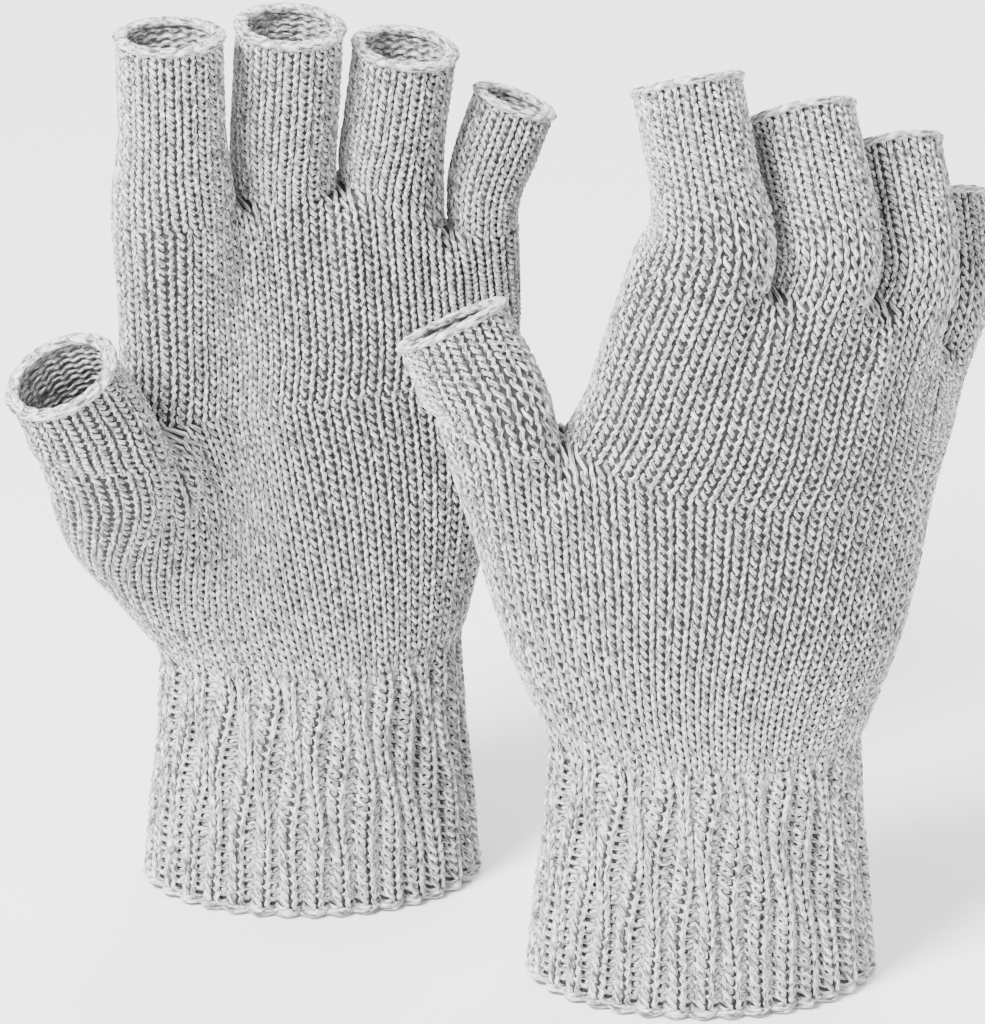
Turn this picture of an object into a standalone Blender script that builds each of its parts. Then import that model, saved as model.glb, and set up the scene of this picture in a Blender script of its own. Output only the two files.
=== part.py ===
"""A pair of half-finger knitted gloves, standing on their ribbed cuffs and filled out as if worn.

Each glove is knitted in one go as a row of zones that lead into each other: the cast-on edge, the
ribbed cuff with covered elastic laid into it, a wrist band that gives, the five-finger hand, the
four-finger hand, and for the thumb and each finger a root that bends, a tube and a cast-off rim.
Each zone is a closed shell of the fabric's thickness, and a hair of clearance parts it from the next.

A glove is drawn in hand coordinates: a runs across the hand along the middle of its thickness, from
the thumb side (negative) to the little finger, h is the distance off that middle line, and z is the
height. The middle line bends across the hand, the hand leans and twists on its wrist, and so each
glove takes its own pose from the same outline. All lengths are in metres, all angles in degrees.
"""

import math

import bpy
import numpy as np

# The fabric.
WALL = 0.0022
CUFF_WALL = 0.0026
GAP = 0.0003
SIDE_GAP = 0.0004

# Outline of the five-finger part: height, thumb edge, little-finger edge, half depth, squareness.
STATIONS = (
    (0.000, -0.0385, 0.0385, 0.0290, 2.0),
    (0.020, -0.0370, 0.0370, 0.0275, 2.0),
    (0.042, -0.0348, 0.0350, 0.0252, 2.0),
    (0.056, -0.0350, 0.0348, 0.0238, 2.1),
    (0.070, -0.0440, 0.0378, 0.0228, 2.2),
    (0.086, -0.0555, 0.0416, 0.0215, 2.3),
    (0.104, -0.0675, 0.0450, 0.0195, 2.4),
    (0.121, -0.0775, 0.0462, 0.0172, 2.5),
)

# Outline of the four-finger part, from the web beside the thumb to the finger roots.
UPPER_STATIONS = (
    (0.121, -0.0490, 0.0462, 0.0172, 2.5),
    (0.130, -0.0474, 0.0466, 0.0162, 2.6),
    (0.145, -0.0476, 0.0466, 0.0148, 2.6),
    (0.166, -0.0480, 0.0464, 0.0134, 2.6),
)

# Heights where one zone gives way to the next.
HEM_HEIGHT = 0.0026
CUFF_TOP = 0.0600
BAND_TOP = 0.0820
THUMB_ROOT_Z = 0.1210
FINGER_ROOT_Z = 0.1660

# The thumb's web and the crotches between the fingers.
WEB = -0.0490
WEB_DEPTH = 0.0120
CROTCHES = (-0.0176, 0.0062, 0.0300)
CROTCH_DEPTH = 0.0110
LITTLE_DROP = 0.0136
CURL_FOLLOW = 0.6
NECK = 0.0008

# Tubes: radius at the rim, and length from the root's foot to the rim's top.
FINGER_RADIUS = {"index": 0.0119, "middle": 0.0121, "ring": 0.0117, "little": 0.0096}
FINGER_LENGTH = {"index": 0.0406, "middle": 0.0385, "ring": 0.0348, "little": 0.0305}
ROOT_LENGTH = 0.0160
THUMB_RADIUS = 0.0127
THUMB_DEPTH = 0.0146
THUMB_LENGTH = 0.0244
THUMB_ROOT_LENGTH = 0.0130
TAPER_LENGTH = 0.0200
RIM_HEIGHT = 0.0024
RIM_FLARE = 0.0004
RIM_WALL = 0.0030

# The rib: one raised and one sunken column to a repeat.
RIB_REPEATS = 32
RIB_DEPTH = 0.0010
HEM_DEPTH = 0.0006

# Covered elastic laid into grooves inside the rib.
ELASTIC_HEIGHTS = (0.0150, 0.0450)
ELASTIC_WIDTH = 0.0018
ELASTIC_THICKNESS = 0.0007

# How finely round shapes are drawn.
HALF_TUBE = 8
HALF_PALM = 12
HALF_CUFF = 16
SPINE_STEPS = 181
HEIGHT_STEPS = 131

FINGERS = ("index", "middle", "ring", "little")

# The pose of each glove. palm is -1 where the palm faces -Y, and 1 where it faces +Y.
LEFT = {
    "name": "left",
    "palm": -1.0,
    "place": (-0.0434, 0.0312),
    "yaw": 5.0,
    "lean": -1.5,
    "shift": 0.0032,
    "pitch": -4.0,
    "twist": 12.0,
    "little_turn": 7.0,
    "thumb_turn": 44.0,
    "thumb_out": 23.0,
    "thumb_in": 15.0,
    "splay": {"index": 1.5, "middle": 4.5, "ring": 8.5, "little": 22.0},
    "curl": {"index": -1.0, "middle": 3.0, "ring": 3.0, "little": -4.0},
}
RIGHT = {
    "name": "right",
    "palm": 1.0,
    "place": (0.0436, -0.0218),
    "yaw": 2.0,
    "lean": 17.5,
    "shift": -0.0022,
    "pitch": -7.5,
    "twist": 11.0,
    "little_turn": 36.0,
    "thumb_turn": 2.0,
    "thumb_out": 43.0,
    "thumb_in": 17.0,
    "splay": {"index": -26.0, "middle": -22.0, "ring": -11.5, "little": 0.5},
    "curl": {"index": 30.0, "middle": 41.0, "ring": 45.0, "little": 46.0},
}


def smooth(start, end, value):
    """0 before start, 1 after end, and an S-curve between them."""
    t = np.clip((value - start) / (end - start), 0.0, 1.0)
    return t * t * (3.0 - 2.0 * t)


def through(stations, column, z):
    """A smooth curve through one column of the stations, read at height z."""
    heights = np.array([row[0] for row in stations])
    values = np.array([row[column] for row in stations])
    slopes = np.gradient(values, heights)
    k = np.clip(np.searchsorted(heights, z, side="right") - 1, 0, len(heights) - 2)
    span = heights[k + 1] - heights[k]
    t = (z - heights[k]) / span
    start = (2.0 * t**3 - 3.0 * t**2 + 1.0) * values[k] + (t**3 - 2.0 * t**2 + t) * span * slopes[k]
    end = (3.0 * t**2 - 2.0 * t**3) * values[k + 1] + (t**3 - t**2) * span * slopes[k + 1]
    return start + end


def axes(sideways, forward):
    """Right, forward and up vectors of a frame leant by two angles in radians."""
    zero = np.zeros_like(sideways)
    right = np.stack([np.cos(sideways), zero, -np.sin(sideways)], -1)
    up_x = np.sin(sideways) * np.cos(forward)
    up = np.stack([up_x, np.sin(forward), np.cos(sideways) * np.cos(forward)], -1)
    return right, np.cross(up, right), up


def turned(points, angle):
    """Points turned about +Z by an angle in radians."""
    x = points[..., 0] * np.cos(angle) - points[..., 1] * np.sin(angle)
    y = points[..., 0] * np.sin(angle) + points[..., 1] * np.cos(angle)
    return np.stack([x, y, points[..., 2] + 0.0 * x], -1)


def running_sum(values, step):
    """The integral of values from the first one on."""
    return np.concatenate([[0.0], np.cumsum(values[:-1]) * step])


def drop(a, z):
    """How far the little finger's side sits lower at the finger roots."""
    return LITTLE_DROP * smooth(0.010, 0.034, a) * smooth(THUMB_ROOT_Z + 0.004, FINGER_ROOT_Z, z)


def lobe(a, left, right, depth, power):
    """Half thickness of one rounded lobe between two edges."""
    t = (a - (left + right) / 2.0) / ((right - left) / 2.0)
    return depth * np.clip(1.0 - np.abs(t) ** power, 0.0, None) ** (1.0 / power)


def finger_edges(finger):
    """The two sides of a finger's foot along the knuckle line."""
    edges = (UPPER_STATIONS[-1][1],) + CROTCHES + (UPPER_STATIONS[-1][2],)
    k = FINGERS.index(finger)
    return edges[k], edges[k + 1]


def tube_foot(finger):
    """Centre, half width and half depth of the foot of a tube, and its height."""
    if finger == "thumb":
        left = STATIONS[-1][1]
        return (left + WEB) / 2.0, (WEB - left) / 2.0, THUMB_DEPTH, THUMB_ROOT_Z
    left, right = finger_edges(finger)
    return (left + right) / 2.0, (right - left) / 2.0, (right - left) / 2.0, FINGER_ROOT_Z


def tube_rim(finger):
    """Radius and length of a tube."""
    if finger == "thumb":
        return THUMB_RADIUS, THUMB_LENGTH
    return FINGER_RADIUS[finger], FINGER_LENGTH[finger]


def root_length(finger):
    """Length of the root that bends."""
    return THUMB_ROOT_LENGTH if finger == "thumb" else ROOT_LENGTH


class Form:
    """Where a point given in hand coordinates lies on one posed glove."""

    def __init__(self, pose):
        self.pose = pose
        self.palm = pose["palm"]
        self.z = np.linspace(0.0, 0.26, HEIGHT_STEPS)
        self.bent = smooth(0.045, 0.095, self.z)
        self.lean = math.radians(pose["lean"])
        self.pitch = math.radians(pose["pitch"])
        step = self.z[1] - self.z[0]
        up = axes(self.lean * self.bent, self.pitch * self.bent)[2]
        self.centre = np.stack([running_sum(up[:, i], step) for i in range(3)], -1)
        self.centre[:, 0] += pose["shift"] * smooth(0.055, 0.150, self.z)
        self.a = np.linspace(-0.11, 0.07, SPINE_STEPS)
        side, height = np.meshgrid(self.a, self.z, indexing="ij")
        little = pose["little_turn"] * smooth(-0.045, 0.045, side) * smooth(0.050, 0.130, height)
        thumb = pose["thumb_turn"] * smooth(-0.005, -0.045, side) * smooth(0.050, 0.115, height)
        twist = pose["twist"] * smooth(0.030, 0.120, height)
        self.angle = np.radians(twist + self.palm * (little - thumb))
        middle = int(np.argmin(np.abs(self.a)))
        width = self.a[1] - self.a[0]
        across = np.cumsum(np.cos(self.angle), 0) * width
        along = np.cumsum(np.sin(self.angle), 0) * width
        self.across = across - across[middle]
        self.along = along - along[middle]

    def read(self, table, a, z):
        """A table over (a, z), read between its points."""
        i = np.clip((a - self.a[0]) / (self.a[1] - self.a[0]), 0, SPINE_STEPS - 1.001)
        j = np.clip((z - self.z[0]) / (self.z[1] - self.z[0]), 0, HEIGHT_STEPS - 1.001)
        i0 = np.asarray(i).astype(int)
        j0 = np.asarray(j).astype(int)
        di = i - i0
        dj = j - j0
        low = table[i0, j0] * (1.0 - di) + table[i0 + 1, j0] * di
        high = table[i0, j0 + 1] * (1.0 - di) + table[i0 + 1, j0 + 1] * di
        return low * (1.0 - dj) + high * dj

    def bend(self, a, h, z):
        """From hand coordinates to the bent section, before the hand leans."""
        angle = self.read(self.angle, a, z)
        x = self.read(self.across, a, z) - h * np.sin(angle)
        y = self.read(self.along, a, z) + h * np.cos(angle)
        return np.stack([x, y, z + 0.0 * x], -1)

    def stand(self, points):
        """From the bent section to the glove where it stands."""
        z = points[..., 2]
        bent = np.interp(z, self.z, self.bent)
        right, forward, _ = axes(self.lean * bent, self.pitch * bent)
        centre = np.stack([np.interp(z, self.z, self.centre[:, i]) for i in range(3)], -1)
        out = centre + right * points[..., 0:1] + forward * points[..., 1:2]
        out = turned(out, math.radians(self.pose["yaw"]))
        return out + np.array([self.pose["place"][0], self.pose["place"][1], 0.0])

    def at(self, a, h, z):
        """The place of a point given in hand coordinates."""
        a, h, z = np.broadcast_arrays(np.asarray(a, float), h, z)
        return self.stand(self.bend(a, h, z))

    def tube(self, finger, along, phi, inset=0.0, flare=0.0):
        """Points round a tube, at a distance along it from its foot, inset into its wall."""
        along, phi = np.broadcast_arrays(np.asarray(along, float), phi)
        foot, half_width, half_depth, z0 = tube_foot(finger)
        radius = tube_rim(finger)[0]
        taper = smooth(0.0, TAPER_LENGTH, along)
        wide = half_width - SIDE_GAP / 2.0 + (radius - half_width) * taper + flare - inset
        deep = half_depth + (radius - half_depth) * taper + flare - inset
        turn = smooth(0.0, root_length(finger), along)
        sideways, forward = self.tube_lean(finger)
        right, ahead, _ = axes(sideways * turn, forward * turn)
        facing = self.read(self.angle, foot, z0)
        plane = self.plane(finger)
        flat = np.stack([wide * np.cos(phi), deep * np.sin(phi), 0.0 * wide * phi], -1)
        level = turned(flat, facing - plane)
        ring = right * level[..., 0:1] + ahead * level[..., 1:2]
        base = self.bend(np.array(foot), np.array(0.0), np.array(z0 - drop(foot, z0)))
        straight = base + turned(self.tube_axis(finger, along) + ring, plane)
        a = foot + wide * np.cos(phi)
        root = self.bend(a, deep * np.sin(phi), z0 - drop(a, z0))
        return self.stand(straight + (root - base - turned(flat, facing)) * (1.0 - turn)[..., None])

    def plane(self, finger):
        """The way a tube's root bends in plan: along the hand on the thumb, across it on a finger."""
        if finger == "thumb":
            return 0.0
        foot, _, _, z0 = tube_foot(finger)
        return CURL_FOLLOW * float(self.read(self.angle, foot, z0))

    def tube_lean(self, finger):
        """How far a tube leans sideways and forward, in radians."""
        if finger == "thumb":
            return -math.radians(self.pose["thumb_out"]), self.palm * math.radians(self.pose["thumb_in"])
        sideways = math.radians(self.pose["splay"][finger])
        return sideways, self.palm * math.radians(self.pose["curl"][finger])

    def tube_axis(self, finger, along):
        """The middle of a tube, from its foot: straight on the thumb, bending over a finger's root."""
        sideways, forward = self.tube_lean(finger)
        if finger == "thumb":
            up = axes(np.array(sideways), np.array(forward))[2]
            return np.asarray(along)[..., None] * up
        steps = np.linspace(0.0, 0.06, 61)
        turn = smooth(0.0, ROOT_LENGTH, steps)
        up = axes(sideways * turn, forward * turn)[2]
        path = np.stack([running_sum(up[:, i], steps[1]) for i in range(3)], -1)
        return np.stack([np.interp(along, steps, path[:, i]) for i in range(3)], -1)

    def hinge(self, finger):
        """Where a tube's root bends, in the middle of its length."""
        half = root_length(finger) / 2.0
        phi = np.array([0.0, math.pi])
        return self.tube(finger, half, phi).mean(0)


def across_lobes(edges, counts):
    """Shares of the way across a section, close together where each lobe rounds off."""
    width = edges[-1] - edges[0]
    shares = [0.0]
    for left, right, count in zip(edges, edges[1:], counts):
        turn = (1.0 - np.cos(np.linspace(0.0, math.pi, count + 1))) / 2.0
        shares.extend((left - edges[0] + (right - left) * turn[1:]) / width)
    return np.array(shares)


def section(form, stations, z, shares, wall, lobes=None, share=0.0, dropped=False):
    """A closed ring of points: across the back from the thumb side, then back across the front."""
    left = through(stations, 1, z) + wall
    right = through(stations, 2, z) - wall
    a = left + shares * (right - left)
    h = lobe(a, left, right, through(stations, 3, z) - wall, through(stations, 4, z))
    if lobes:
        parts = [lobe(a, *each) for each in lobes]
        h = h * (1.0 - share) + np.max(parts, 0) * share
    h[1:-1] = np.maximum(h[1:-1], NECK)
    heights = z - drop(a, z) if dropped else np.full_like(a, z)
    a_ring = np.concatenate([a, a[-2:0:-1]])
    h_ring = np.concatenate([h, -h[-2:0:-1]])
    z_ring = np.concatenate([heights, heights[-2:0:-1]])
    return form.at(a_ring, h_ring, z_ring)


def pinch(z, top, depth):
    """How far a crotch has closed at height z: a quarter circle that ends at the top."""
    t = np.clip(1.0 - (top - z) / depth, 0.0, 1.0)
    return 1.0 - math.sqrt(1.0 - t * t)


def fabric(name, colour, roughness):
    """A plain material of one colour."""
    material = bpy.data.materials.new(name)
    material.use_nodes = True
    shader = material.node_tree.nodes["Principled BSDF"]
    shader.inputs["Base Color"].default_value = (*colour, 1.0)
    shader.inputs["Roughness"].default_value = roughness
    shader.inputs["Metallic"].default_value = 0.0
    return material


def add_object(name, points, faces, material, parent=None):
    """A mesh object, hung on its parent empty where it has one, with its place kept."""
    mesh = bpy.data.meshes.new(name)
    origin = np.array(parent.location if parent else (0.0, 0.0, 0.0))
    mesh.from_pydata((points - origin).tolist(), [], [list(map(int, f)) for f in faces])
    mesh.validate()
    mesh.update()
    mesh.shade_smooth()
    mesh.set_sharp_from_angle(angle=math.radians(40.0))
    if material:
        mesh.materials.append(material)
    ob = bpy.data.objects.new(name, mesh)
    bpy.context.collection.objects.link(ob)
    ob.parent = parent
    return ob


def wall_quads(rings, count, outward):
    """Quads between rings of the same number of points."""
    quads = []
    for k in range(rings - 1):
        for j in range(count):
            n = (j + 1) % count
            quad = [k * count + j, k * count + n, (k + 1) * count + n, (k + 1) * count + j]
            quads.append(quad if outward else quad[::-1])
    return quads


def shell(name, outer, inner, material, parent=None):
    """A closed tube of fabric: rings up the outside, rings up the inside, and both rims."""
    count = len(outer[0])
    start = count * len(outer)
    faces = wall_quads(len(outer), count, False)
    faces += [[start + i for i in quad] for quad in wall_quads(len(inner), count, True)]
    top_out = start - count
    top_in = start + count * (len(inner) - 1)
    for j in range(count):
        n = (j + 1) % count
        faces.append([j, n, start + n, start + j])
        faces.append([top_out + n, top_out + j, top_in + j, top_in + n])
    return add_object(name, np.concatenate(list(outer) + list(inner)), faces, material, parent)


def solid(name, rings, material, parent=None):
    """A closed solid through rings, with each end closed from its front to its back."""
    count = len(rings[0])
    half = count // 2
    faces = wall_quads(len(rings), count, False)
    top = count * (len(rings) - 1)
    faces.append([0, 1, count - 1])
    faces.append([top + count - 1, top + 1, top])
    faces.append([half - 1, half, half + 1])
    faces.append([top + half + 1, top + half, top + half - 1])
    for j in range(1, half - 1):
        faces.append([j, j + 1, count - j - 1, count - j])
        faces.append([top + count - j, top + count - j - 1, top + j + 1, top + j])
    return add_object(name, np.concatenate(rings), faces, material, parent)


def cut(target, cutter):
    """Cuts one solid out of another, and keeps the cutter out of the model."""
    cutter.hide_render = True
    cutter.display_type = "WIRE"
    cutter.hide_set(True)
    modifier = target.modifiers.new(cutter.name, "BOOLEAN")
    modifier.operation = "DIFFERENCE"
    modifier.solver = "EXACT"
    modifier.object = cutter


def hinge_empty(name, position):
    """An empty on a joint's axis."""
    empty = bpy.data.objects.new(name, None)
    empty.empty_display_size = 0.01
    empty.location = position
    bpy.context.collection.objects.link(empty)
    return empty


def round_ring(form, z, inset, count, depth=0.0):
    """A ring of the cuff at height z, inset into its wall, with every second point sunk by depth."""
    theta = np.linspace(0.0, 2.0 * math.pi, count, endpoint=False)
    sunk = inset + depth * (np.arange(count) % 2)
    left = through(STATIONS, 1, z)
    right = through(STATIONS, 2, z)
    t = -np.cos(theta)
    a = (left + right) / 2.0 + t * ((right - left) / 2.0 - sunk)
    power = through(STATIONS, 4, z)
    h = (through(STATIONS, 3, z) - sunk) * np.clip(1.0 - np.abs(t) ** power, 0.0, None) ** (1.0 / power)
    return form.at(a, h * np.sign(np.sin(theta) + 1e-12), z)


def make_cuff(form, name, yarn, covered):
    """The cast-on edge, the rib with its grooves, and the elastic in them."""
    points = 2 * RIB_REPEATS
    hem_top = HEM_HEIGHT - GAP / 2.0
    ends = (0.0, hem_top)
    hem_outer = [round_ring(form, z, 0.0, points, HEM_DEPTH) for z in ends]
    hem_inner = [round_ring(form, z, CUFF_WALL, points) for z in ends]
    shell(name + "_cuff_hem", hem_outer, hem_inner, yarn)

    bottom = HEM_HEIGHT + GAP / 2.0
    top = CUFF_TOP - GAP / 2.0
    outer = [round_ring(form, z, 0.0, points, RIB_DEPTH) for z in np.linspace(bottom, top, 6)]
    levels = [(bottom, CUFF_WALL)]
    groove = ELASTIC_THICKNESS + GAP
    for z in ELASTIC_HEIGHTS:
        low = z - ELASTIC_WIDTH / 2.0 - GAP
        high = z + ELASTIC_WIDTH / 2.0 + GAP
        levels += [(low, CUFF_WALL), (low, CUFF_WALL - groove), (high, CUFF_WALL - groove), (high, CUFF_WALL)]
    levels.append((top, CUFF_WALL))
    inner = [round_ring(form, z, inset, points) for z, inset in levels]
    shell(name + "_cuff_rib", outer, inner, yarn)

    for k, z in enumerate(ELASTIC_HEIGHTS):
        ends = (z - ELASTIC_WIDTH / 2.0, z + ELASTIC_WIDTH / 2.0)
        ring_outer = [round_ring(form, end, CUFF_WALL - ELASTIC_THICKNESS, 2 * HALF_CUFF) for end in ends]
        ring_inner = [round_ring(form, end, CUFF_WALL, 2 * HALF_CUFF) for end in ends]
        shell(f"{name}_cuff_elastic_{k + 1}", ring_outer, ring_inner, covered)


def make_wrist_band(form, name, yarn):
    """The plain-knit band that gives when the wrist bends."""
    heights = np.linspace(CUFF_TOP + GAP / 2.0, BAND_TOP - GAP / 2.0, 5)
    outer = [round_ring(form, z, 0.0, 2 * HALF_CUFF) for z in heights]
    inner = [round_ring(form, z, WALL, 2 * HALF_CUFF) for z in heights]
    shell(name + "_wrist_band", outer, inner, yarn)


def make_lower_palm(form, name, yarn, hinge):
    """The five-finger hand: one pocket below, and a way out for the thumb and for the palm above."""
    left, right = STATIONS[-1][1], STATIONS[-1][2]
    lobes = [
        (left, WEB, THUMB_DEPTH, 2.0),
        (WEB, right, STATIONS[-1][3], STATIONS[-1][4]),
    ]
    shares = across_lobes((left, WEB, right), (HALF_TUBE, HALF_PALM))
    bottom = BAND_TOP + GAP / 2.0
    top = THUMB_ROOT_Z - GAP / 2.0
    split = THUMB_ROOT_Z - WEB_DEPTH
    heights = list(np.linspace(bottom, split, 4)) + list(top - (top - split) * np.array([0.6, 0.3, 0.1, 0.0]))
    rings = []
    for z in heights:
        share = pinch(z, THUMB_ROOT_Z, WEB_DEPTH)
        rings.append(section(form, STATIONS, z, shares, 0.0, lobes, share))
    body = solid(name + "_lower_palm", rings, yarn, hinge)

    heights = np.linspace(bottom - WALL, split, 5)
    rings = [section(form, STATIONS, z, shares, WALL) for z in heights]
    cut(body, solid(name + "_lower_pocket", rings, None, hinge))
    phi = np.linspace(0.0, 2.0 * math.pi, 2 * HALF_TUBE, endpoint=False)
    rings = []
    for z in np.linspace(split - 2.0 * WALL, THUMB_ROOT_Z + WALL, 5):
        edge = through(STATIONS, 1, min(z, THUMB_ROOT_Z))
        shrink = (z - split) / WEB_DEPTH
        half = (WEB - left) / 2.0 - WALL
        middle = edge + WALL + half
        deep = (THUMB_DEPTH - WALL) * min(1.0, 0.9 + 0.1 * shrink)
        rings.append(form.at(middle - half * np.cos(phi), deep * np.sin(phi), z))
    cut(body, solid(name + "_thumb_bore", rings, None, hinge))
    rings = []
    for z in np.linspace(split - 2.0 * WALL, THUMB_ROOT_Z + WALL, 4):
        t = -np.cos(np.linspace(0.0, 2.0 * math.pi, 2 * HALF_PALM, endpoint=False))
        edge = through(STATIONS, 2, min(z, THUMB_ROOT_Z)) - WALL
        start = WEB + WALL
        a = (start + edge) / 2.0 + t * (edge - start) / 2.0
        h = lobe(a, start, edge, STATIONS[-1][3] - WALL, STATIONS[-1][4])
        side = np.sign(np.sin(np.linspace(0.0, 2.0 * math.pi, 2 * HALF_PALM, endpoint=False)) + 1e-12)
        rings.append(form.at(a, h * side, z))
    cut(body, solid(name + "_palm_bore", rings, None, hinge))


def make_upper_palm(form, name, yarn, hinge):
    """The four-finger hand: one pocket below, and a way out for each finger above."""
    last = UPPER_STATIONS[-1]
    edges = (last[1],) + CROTCHES + (last[2],)
    lobes = []
    for finger in FINGERS:
        left, right = finger_edges(finger)
        lobes.append((left, right, (right - left) / 2.0, 2.0))
    shares = across_lobes(edges, (HALF_TUBE,) * 4)
    bottom = THUMB_ROOT_Z + GAP / 2.0
    top = FINGER_ROOT_Z - SIDE_GAP / 2.0
    split = FINGER_ROOT_Z - CROTCH_DEPTH
    heights = list(np.linspace(bottom, split, 5)) + list(top - (top - split) * np.array([0.6, 0.3, 0.1, 0.0]))
    rings = []
    for z in heights:
        share = pinch(z, FINGER_ROOT_Z, CROTCH_DEPTH)
        rings.append(section(form, UPPER_STATIONS, z, shares, 0.0, lobes, share, True))
    body = solid(name + "_upper_palm", rings, yarn, hinge)

    heights = list(np.linspace(bottom - WALL, split, 5))
    rings = [section(form, UPPER_STATIONS, max(z, THUMB_ROOT_Z), shares, WALL, dropped=True) for z in heights]
    rings[0] = section(form, UPPER_STATIONS, THUMB_ROOT_Z - WALL, shares, WALL)
    cut(body, solid(name + "_upper_pocket", rings, None, hinge))
    phi = np.linspace(0.0, 2.0 * math.pi, 2 * HALF_TUBE, endpoint=False)
    for finger in FINGERS:
        middle, half, _, _ = tube_foot(finger)
        a = middle - (half - WALL) * np.cos(phi)
        h = (half - WALL) * np.sin(phi)
        rings = []
        for z in np.linspace(split - 2.0 * WALL, FINGER_ROOT_Z + WALL, 4):
            rings.append(form.at(a, h, z - drop(a, z)))
        cut(body, solid(f"{name}_{finger}_bore", rings, None, hinge))


def make_tube(form, name, finger, yarn, hand):
    """A finger or the thumb: the root that bends, the tube and its cast-off rim."""
    phi = math.pi - np.linspace(0.0, 2.0 * math.pi, 2 * HALF_TUBE, endpoint=False)
    length = tube_rim(finger)[1]
    root = root_length(finger)
    stem = f"{name}_{finger}"
    heights = np.linspace(GAP / 2.0, root - GAP / 2.0, 4)
    outer = [form.tube(finger, z, phi) for z in heights]
    inner = [form.tube(finger, z, phi, WALL) for z in heights]
    shell(stem + "_root", outer, inner, yarn, hand)

    hinge = hinge_empty(stem + "_hinge", form.hinge(finger))
    low = root + GAP / 2.0
    high = length - RIM_HEIGHT - GAP / 2.0
    heights = np.linspace(low, high, 3)
    outer = [form.tube(finger, z, phi) for z in heights]
    inner = [form.tube(finger, z, phi, WALL) for z in heights]
    shell(stem + "_tube", outer, inner, yarn, hinge)

    low = length - RIM_HEIGHT + GAP / 2.0
    profile = ((low, 0.0), (low + RIM_HEIGHT / 3.0, RIM_FLARE), (length - RIM_HEIGHT / 4.0, RIM_FLARE), (length, 0.0))
    outer = [form.tube(finger, z, phi, flare=flare) for z, flare in profile]
    inner = [form.tube(finger, z, phi, RIM_WALL) for z in (low, length)]
    shell(stem + "_rim", outer, inner, yarn, hinge)


def make_glove(pose, yarn, covered):
    """One glove in its own pose."""
    form = Form(pose)
    name = pose["name"]
    make_cuff(form, name, yarn, covered)
    make_wrist_band(form, name, yarn)
    wrist = form.at(0.0, 0.0, (CUFF_TOP + BAND_TOP) / 2.0)
    hand = hinge_empty(name + "_wrist_hinge", wrist)
    make_lower_palm(form, name, yarn, hand)
    make_upper_palm(form, name, yarn, hand)
    for finger in ("thumb",) + FINGERS:
        make_tube(form, name, finger, yarn, hand)


def main():
    for ob in list(bpy.data.objects):
        bpy.data.objects.remove(ob, do_unlink=True)
    yarn = fabric("heather_yarn", (0.52, 0.52, 0.53), 0.90)
    covered = fabric("covered_elastic", (0.60, 0.60, 0.60), 0.70)
    for pose in (LEFT, RIGHT):
        make_glove(pose, yarn, covered)


main()
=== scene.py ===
# %% [markdown]
# A pair of half-finger gloves, knitted in the round from a soft grey heather yarn. The real ones have no
# panels: one yarn runs from the cast-on edge up to the fingers, and each finger is cast off on its own.
# Here every stitch is real geometry. A height map of stitches would be lighter, but at the edges of the
# fingers and inside the open tubes the loops stand free and the light passes between them, and that is
# what makes knitting look knitted.

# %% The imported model
import math
import bpy
import numpy as np
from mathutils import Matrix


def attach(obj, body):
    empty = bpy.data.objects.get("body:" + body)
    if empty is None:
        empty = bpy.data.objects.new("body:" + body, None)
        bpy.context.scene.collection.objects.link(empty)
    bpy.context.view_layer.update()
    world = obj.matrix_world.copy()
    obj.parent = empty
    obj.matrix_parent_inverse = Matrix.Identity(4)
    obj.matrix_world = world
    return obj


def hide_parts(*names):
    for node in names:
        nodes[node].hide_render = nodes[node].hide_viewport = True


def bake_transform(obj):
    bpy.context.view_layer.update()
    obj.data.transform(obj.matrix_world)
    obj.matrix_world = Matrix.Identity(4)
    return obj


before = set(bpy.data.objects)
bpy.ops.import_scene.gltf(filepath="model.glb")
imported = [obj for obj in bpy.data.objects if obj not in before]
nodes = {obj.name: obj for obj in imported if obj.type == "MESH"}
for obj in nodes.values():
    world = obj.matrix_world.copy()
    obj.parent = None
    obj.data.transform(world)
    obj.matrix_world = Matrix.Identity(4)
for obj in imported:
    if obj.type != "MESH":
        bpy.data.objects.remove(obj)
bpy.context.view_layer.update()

# %% [markdown]
# The outline. A glove filled by a hand is easiest to draw flat and then bend: a runs across the hand from
# the thumb side to the little finger, h is the distance off the middle of its thickness, and z is the
# height. Both gloves share one outline, and take different poses from it.

# %% Sizes of the hand, in metres
STATIONS = (
    (0.000, -0.0385, 0.0385, 0.0290, 2.0),
    (0.020, -0.0370, 0.0370, 0.0275, 2.0),
    (0.042, -0.0348, 0.0350, 0.0252, 2.0),
    (0.056, -0.0350, 0.0348, 0.0238, 2.1),
    (0.070, -0.0440, 0.0378, 0.0228, 2.2),
    (0.086, -0.0555, 0.0416, 0.0215, 2.3),
    (0.104, -0.0675, 0.0450, 0.0195, 2.4),
    (0.121, -0.0775, 0.0462, 0.0172, 2.5),
)
UPPER_STATIONS = (
    (0.121, -0.0490, 0.0462, 0.0172, 2.5),
    (0.130, -0.0474, 0.0466, 0.0162, 2.6),
    (0.145, -0.0476, 0.0466, 0.0148, 2.6),
    (0.166, -0.0480, 0.0464, 0.0134, 2.6),
)
WALL, SIDE_GAP = 0.0022, 0.0004
HEM_HEIGHT, CUFF_TOP, BAND_TOP = 0.0026, 0.0600, 0.0820
THUMB_ROOT_Z, FINGER_ROOT_Z = 0.1210, 0.1660
WEB, WEB_DEPTH = -0.0490, 0.0120
CROTCHES, CROTCH_DEPTH = (-0.0176, 0.0062, 0.0300), 0.0110
LITTLE_DROP, DROP_START, DROP_END = 0.0136, 0.010, 0.034
CURL_FOLLOW = 0.6
FINGER_RADIUS = {"index": 0.0119, "middle": 0.0121, "ring": 0.0117, "little": 0.0096}
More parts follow.
